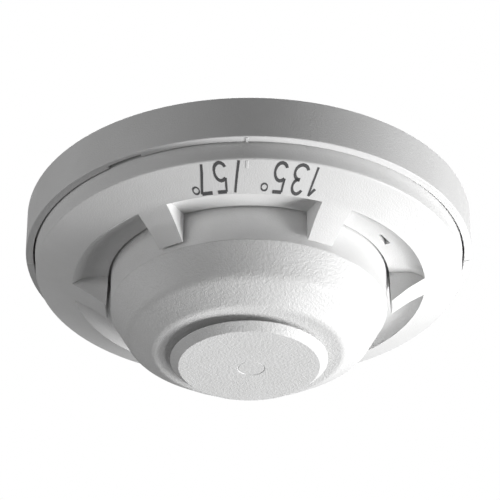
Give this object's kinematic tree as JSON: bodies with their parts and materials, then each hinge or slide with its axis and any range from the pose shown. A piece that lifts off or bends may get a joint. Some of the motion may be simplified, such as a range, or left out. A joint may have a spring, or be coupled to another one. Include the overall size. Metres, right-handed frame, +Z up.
{
  "type": "heat detector",
  "caption": "Round white ceiling heat detector: twist-on bracket ring, flared cover with openings and spokes, air-chamber dome and drop-off collector disc.",
  "frame": {"origin": "centre of the bracket's ceiling face, on the axis of the detector, in the plane of the ceiling", "axes": "+Z up into the ceiling along the axis of the detector; -Y towards the side that carries the printed rating; the two long bracket slots lie along X"},
  "size_m": [0.116, 0.116, 0.0428],
  "materials": {
    "white_plastic": "smooth moulded off-white plastic, semi-matt",
    "white_paint": "off-white powder coat with a fine orange-peel texture",
    "alloy_paint": "fusible alloy under the same white coat",
    "base_plastic": "natural moulded plastic, matt",
    "black_plastic": "black phenolic, matt",
    "insulator": "natural nylon",
    "seal_rubber": "black sealing rubber",
    "steel": "bright drawn and stamped steel",
    "zinc_steel": "zinc plated steel screws",
    "brass": "stamped and turned brass",
    "bronze": "phosphor bronze spring strip",
    "silver": "silver contact metal"
  },
  "bodies": {
    "bracket": {"mounting_bracket": "white_plastic"},
    "detector": {"detector_cover": "white_plastic", "chamber_housing": "white_plastic", "chamber_dome": "white_paint", "plunger_spring": "steel", "plunger_guide": "brass", "chamber_gasket": "seal_rubber", "chamber_plate": "black_plastic", "diaphragm": "bronze", "diaphragm_ring": "steel", "vent_plug": "brass", "contact_base": "base_plastic", "leaf_anchors": "brass", "contact_bar": "brass", "bar_contacts": "silver", "terminal_strip_a": "brass", "terminal_strip_b": "brass", "clamp_plates": "steel", "terminal_screws": "zinc_steel", "leaf_rivets": "brass", "cover_screws": "zinc_steel", "chamber_screws": "zinc_steel"},
    "collector": {"heat_collector": "white_paint", "fusible_alloy": "alloy_paint"},
    "plunger": {"plunger_rod": "steel", "plunger_collar": "steel", "plunger_tip": "insulator"},
    "fixed_leaf": {"fixed_temp_leaf": "bronze", "fixed_temp_contact": "silver"},
    "rate_of_rise_leaf": {"rate_leaf": "bronze", "rate_contact": "silver"},
    "diaphragm_centre": {"diaphragm_button": "insulator"}
  },
  "joints": [
    {"name": "bayonet_twist", "type": "hinge", "parent": "bracket", "child": "detector", "pos_m": [0, 0, 0], "axis": [0, 0, -1], "range_deg": [0, 18]},
    {"name": "collector_drop", "type": "slide", "parent": "detector", "child": "collector", "axis": [0, 0, -1], "range_m": [0, 0.02]},
    {"name": "plunger_release", "type": "slide", "parent": "detector", "child": "plunger", "axis": [0, 0, 1], "range_m": [0, 0.001], "deforming": ["plunger_spring"]},
    {"name": "fixed_leaf_bend", "type": "hinge", "parent": "detector", "child": "fixed_leaf", "pos_m": [-0.016, 0, -0.0114], "axis": [0, -1, 0], "range_deg": [0, 3.7]},
    {"name": "rate_leaf_bend", "type": "hinge", "parent": "detector", "child": "rate_of_rise_leaf", "pos_m": [-0.016, 0.0175, -0.0114], "axis": [0, -1, 0], "range_deg": [0, 3.68], "stiffness_Nm_per_rad": 0.002},
    {"name": "diaphragm_lift", "type": "slide", "parent": "detector", "child": "diaphragm_centre", "axis": [0, 0, 1], "range_m": [0, 0.00101], "deforming": ["diaphragm"]}
  ],
  "couplings": [
    {"joint": "fixed_leaf_bend", "follows": "plunger_release", "rad_per_m": 64.2},
    {"joint": "diaphragm_lift", "follows": "rate_leaf_bend", "m_per_rad": 0.01557}
  ]
}
